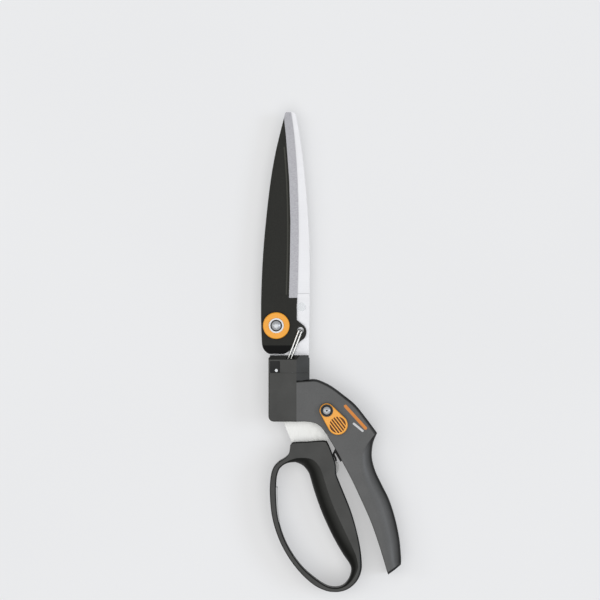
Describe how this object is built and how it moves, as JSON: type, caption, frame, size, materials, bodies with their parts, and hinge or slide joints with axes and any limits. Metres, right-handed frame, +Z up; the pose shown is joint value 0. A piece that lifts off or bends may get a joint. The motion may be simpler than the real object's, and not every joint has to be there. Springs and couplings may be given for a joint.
{
  "type": "grass shears",
  "caption": "One-handed grass shears with long blades on a swivelling head, a link drive, a finger-loop handle and a thumb lock.",
  "frame": {"origin": "under the swivel axis, at the centre of the housing's flat lower face", "axes": "+Y along the blades towards their tips, +Z up through the thickness from the face it lies on, +X towards the palm handle"},
  "size_m": [0.1055, 0.3607, 0.0331],
  "materials": {
    "palm_plastic": "fine moulded grain, mid grey",
    "housing_plastic": "fine moulded grain, dark grey",
    "grip_plastic": "fine moulded grain, charcoal",
    "end_plastic": "moulded black",
    "orange_plastic": "satin moulded orange",
    "coated_blade": "charcoal non-stick coating, bare ground bevel",
    "bare_blade": "ground steel",
    "tang_steel": "bright stamped steel",
    "bright_steel": "polished",
    "link_wire": "bright drawn wire",
    "plain_steel": "zinc plated",
    "dark_steel": "black oxide",
    "bush_bronze": "plain bronze",
    "bearing_plastic": "natural acetal",
    "buffer_rubber": "light grey rubber"
  },
  "bodies": {
    "palm_handle": {"palm_shell_front": "palm_plastic", "palm_shell_back": "palm_plastic", "housing_cover_front": "housing_plastic", "housing_cover_back": "housing_plastic", "shell_screws": "plain_steel", "handle_pivot_pin": "plain_steel", "swivel_bearing": "bearing_plastic", "detent_ball": "plain_steel", "detent_spring": "plain_steel", "lock_screw": "bright_steel", "lock_washer": "dark_steel", "end_cap": "end_plastic", "return_spring": "dark_steel"},
    "lock": {"lock_lever": "orange_plastic", "lock_pawl": "plain_steel"},
    "loop_handle": {"loop_grip": "grip_plastic", "handle_tang": "tang_steel", "drive_pin": "plain_steel", "stop_buffer": "buffer_rubber"},
    "rod": {"pull_rod": "plain_steel"},
    "swivel_head": {"head_block_front": "housing_plastic", "head_block_back": "housing_plastic", "spindle": "plain_steel", "lower_blade": "bare_blade", "head_pins": "bright_steel", "pivot_bolt": "bright_steel", "pivot_disc": "orange_plastic", "pivot_washer": "bright_steel", "wave_washer": "plain_steel", "pivot_nut": "plain_steel", "glide_button": "bright_steel"},
    "slider": {"link_slider": "plain_steel"},
    "moving_blade": {"upper_blade": "coated_blade", "pivot_bush": "bush_bronze"},
    "drive_link": {"wire_link": "link_wire"}
  },
  "joints": [
    {"name": "handle_pivot", "type": "hinge", "parent": "palm_handle", "child": "loop_handle", "pos_m": [0.024, -0.001, 0.0135], "axis": [0, 0, -1], "range_deg": [0, 16.9], "deforming": ["return_spring"]},
    {"name": "rod_slide", "type": "slide", "parent": "palm_handle", "child": "rod", "axis": [0, 1, 0], "range_m": [0, 0.00707]},
    {"name": "head_swivel", "type": "hinge", "parent": "palm_handle", "child": "swivel_head", "pos_m": [0, 0, 0.0135], "axis": [0, 1, 0], "range_deg": [-90, 90]},
    {"name": "slider_slide", "type": "slide", "parent": "swivel_head", "child": "slider", "axis": [0, 1, 0], "range_m": [0, 0.00707]},
    {"name": "blade_pivot", "type": "hinge", "parent": "swivel_head", "child": "moving_blade", "pos_m": [-0.0096, 0.0535, 0.0135], "axis": [0, 0, 1], "range_deg": [0, 22]},
    {"name": "link_pivot", "type": "hinge", "parent": "moving_blade", "child": "drive_link", "pos_m": [0.0086, 0.05, 0.017], "axis": [0, 0, 1], "range_deg": [-22, 0]},
    {"name": "lock_turn", "type": "hinge", "parent": "palm_handle", "child": "lock", "pos_m": [0.0283, -0.0101, 0.0135], "axis": [0, 0, 1], "range_deg": [0, 35]}
  ],
  "couplings": [
    {"joint": "rod_slide", "follows": "handle_pivot", "m_per_rad": 0.023969},
    {"joint": "slider_slide", "follows": "handle_pivot", "m_per_rad": 0.023969},
    {"joint": "blade_pivot", "follows": "handle_pivot", "ratio": 1.3018},
    {"joint": "link_pivot", "follows": "handle_pivot", "ratio": -1.3018}
  ]
}
